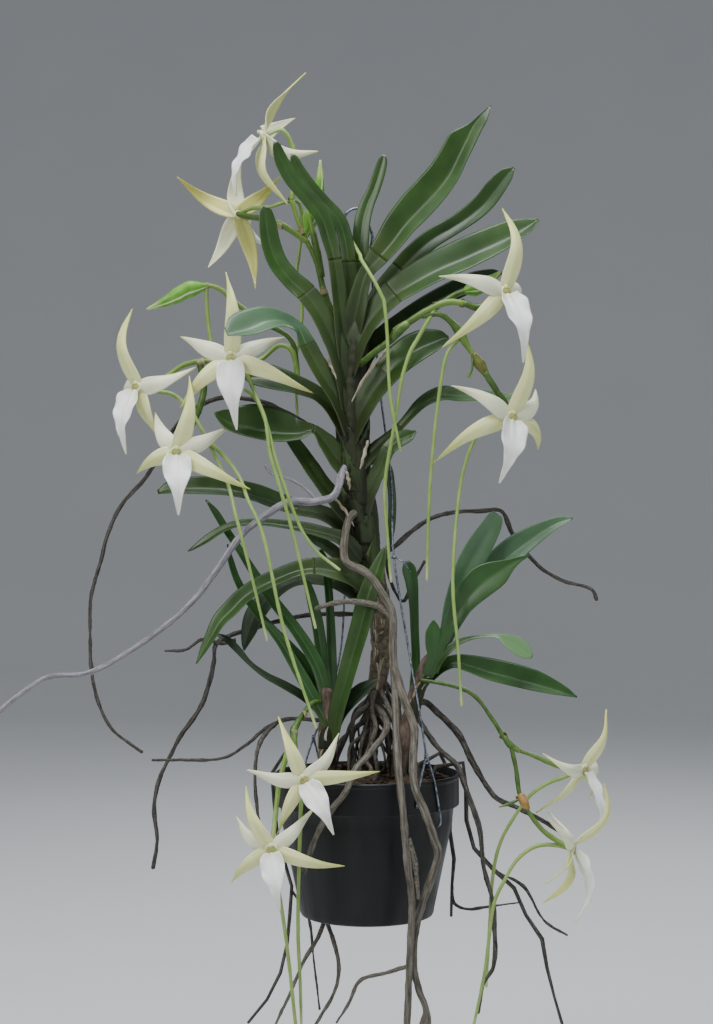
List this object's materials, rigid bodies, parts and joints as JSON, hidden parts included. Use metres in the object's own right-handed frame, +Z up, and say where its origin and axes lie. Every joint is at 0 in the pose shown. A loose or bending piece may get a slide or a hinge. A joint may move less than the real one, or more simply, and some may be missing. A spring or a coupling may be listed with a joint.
{
  "type": "potted comet orchid",
  "caption": "Tall comet orchid in a round tapered pot, with strap leaves, star-shaped long-spurred blooms and trailing aerial roots, hung on a forked wire hanger with a top hook.",
  "frame": {"origin": "the underside of the top of the hanger hook, where it rests on a rod or rail", "axes": "+Z up, -Y to the front that the picture shows, +X to the right as seen from the front"},
  "size_m": [0.6096, 0.2452, 1.0294],
  "materials": {
    "pot_plastic": "satin, moulded",
    "bark": "rough chunks",
    "galvanised_wire": "dull zinc",
    "stem": "fibrous sheaths",
    "leaf": "waxy, glossy",
    "young_leaf": "waxy, glossy",
    "bloom": "waxy, soft satin",
    "spray": "waxy, satin",
    "root_grey": "dry, matte",
    "root_dark": "dry, matte"
  },
  "bodies": {
    "root": {"pot": "pot_plastic", "bark_medium": "bark", "hanger_hook": "galvanised_wire", "hanger_wire_right": "galvanised_wire", "hanger_wire_left": "galvanised_wire", "plant_tie": "galvanised_wire", "main_stem": "stem", "leaf_left_01": "leaf", "leaf_left_02": "leaf", "leaf_left_03": "leaf", "leaf_back_01": "leaf", "leaf_right_01": "leaf", "leaf_right_02": "leaf", "leaf_right_03": "leaf", "leaf_right_04": "leaf", "leaf_right_05": "leaf", "leaf_right_06": "leaf", "leaf_right_07": "leaf", "leaf_right_08": "leaf", "leaf_left_04": "leaf", "leaf_left_05": "leaf", "leaf_left_06": "leaf", "leaf_left_07": "leaf", "leaf_left_08": "leaf", "leaf_left_09": "leaf", "leaf_left_10": "leaf", "leaf_left_11": "leaf", "leaf_left_12": "leaf", "shoot_left": "young_leaf", "shoot_right": "young_leaf", "bloom_01": "bloom", "bloom_02": "bloom", "bloom_03": "bloom", "bloom_04": "bloom", "bloom_05": "bloom", "bloom_06": "bloom", "bloom_07": "bloom", "bloom_08": "bloom", "bloom_09": "bloom", "bloom_10": "bloom", "bloom_11": "bloom", "spray_left_top": "spray", "spray_left_middle": "spray", "spray_right_top": "spray", "spray_left_low": "spray", "spray_right_low": "spray", "root_left_grey": "root_grey", "root_centre": "root_grey", "root_front": "root_grey", "root_drain": "root_grey", "root_left_arc": "root_dark", "root_left_hanging": "root_dark", "root_left_low": "root_dark", "root_right_arc": "root_dark", "root_right_low": "root_dark", "root_rim_right": "root_dark", "root_rim_back": "root_dark", "root_rim_left": "root_dark"}
  },
  "joints": []
}
